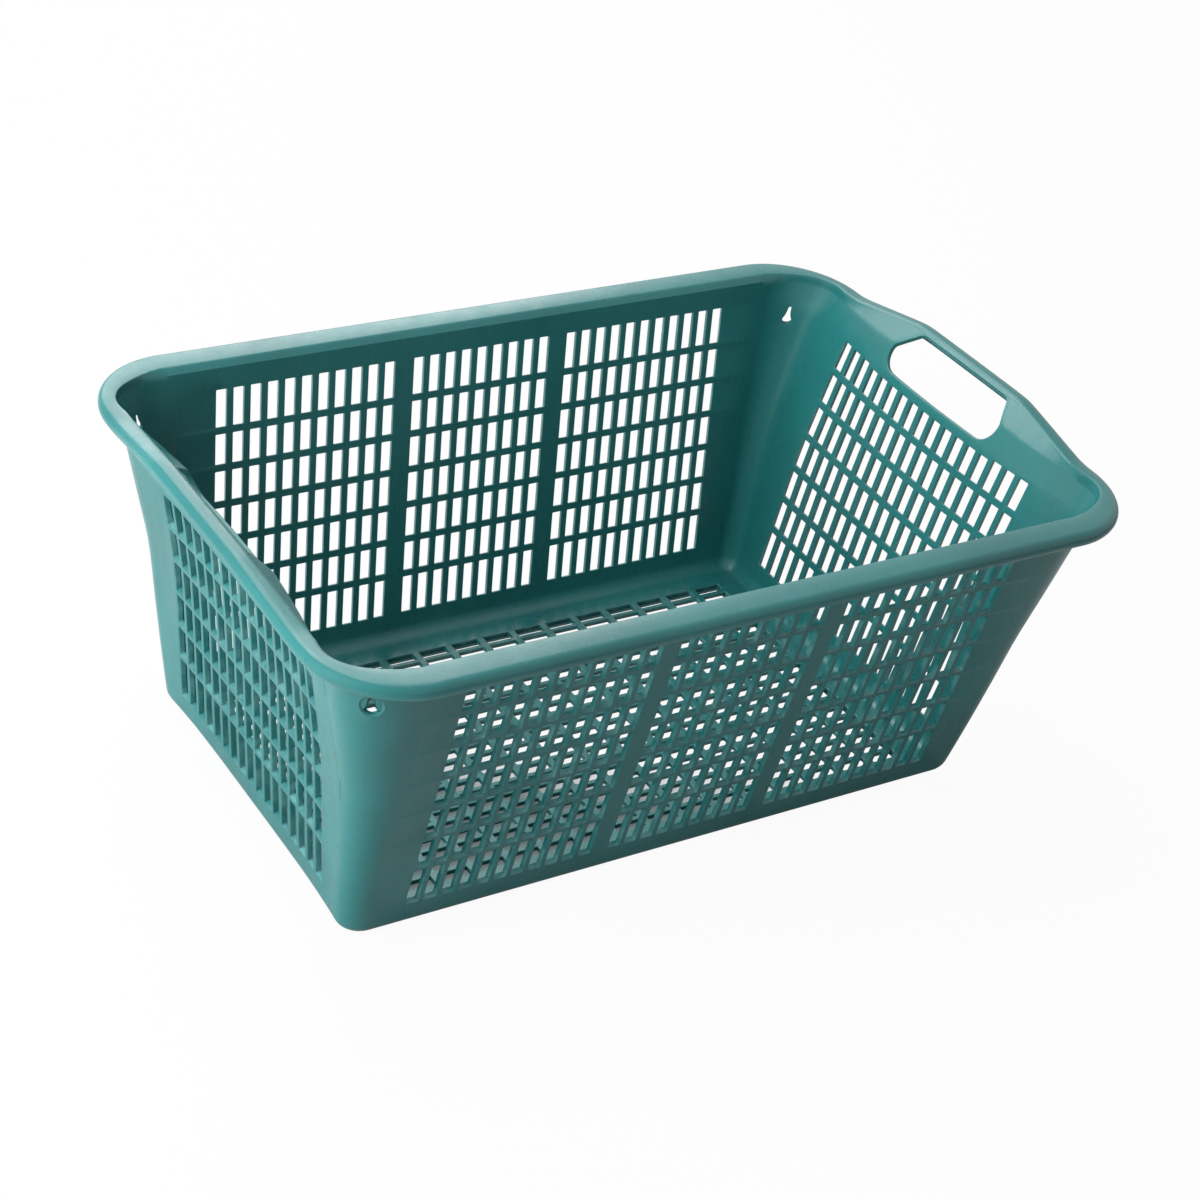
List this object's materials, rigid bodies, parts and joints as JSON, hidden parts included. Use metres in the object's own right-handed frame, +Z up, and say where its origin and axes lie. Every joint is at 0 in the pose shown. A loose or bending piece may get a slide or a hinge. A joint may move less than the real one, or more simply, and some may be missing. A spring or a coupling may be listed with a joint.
{
  "type": "ventilated harvest basket",
  "caption": "Open-topped tapered plastic basket with slotted walls and floor, a hooked rim and a raised grip over a hand hole at each end.",
  "frame": {"origin": "on the ground under the middle of the basket", "axes": "+X along the basket to the right end, +Y across it to the back, +Z up"},
  "size_m": [0.633, 0.4, 0.257],
  "materials": {
    "body": "satin moulded polypropylene in petrol green"
  },
  "bodies": {
    "root": {"back_centre_panel": "body", "back_foot": "body", "back_left_corner_post": "body", "back_left_grip_shoulder": "body", "back_left_rim_corner": "body", "back_left_side_panel": "body", "back_right_corner_post": "body", "back_right_grip_shoulder": "body", "back_right_rim_corner": "body", "back_right_side_panel": "body", "back_rim": "body", "floor_ribs": "body", "floor_slats": "body", "front_centre_panel": "body", "front_foot": "body", "front_left_corner_post": "body", "front_left_grip_shoulder": "body", "front_left_rim_corner": "body", "front_left_side_panel": "body", "front_right_corner_post": "body", "front_right_grip_shoulder": "body", "front_right_rim_corner": "body", "front_right_side_panel": "body", "front_rim": "body", "left_end_rails": "body", "left_end_uprights": "body", "left_foot": "body", "left_grip": "body", "left_handle_frame": "body", "right_end_rails": "body", "right_end_uprights": "body", "right_foot": "body", "right_grip": "body", "right_handle_frame": "body"}
  },
  "joints": []
}
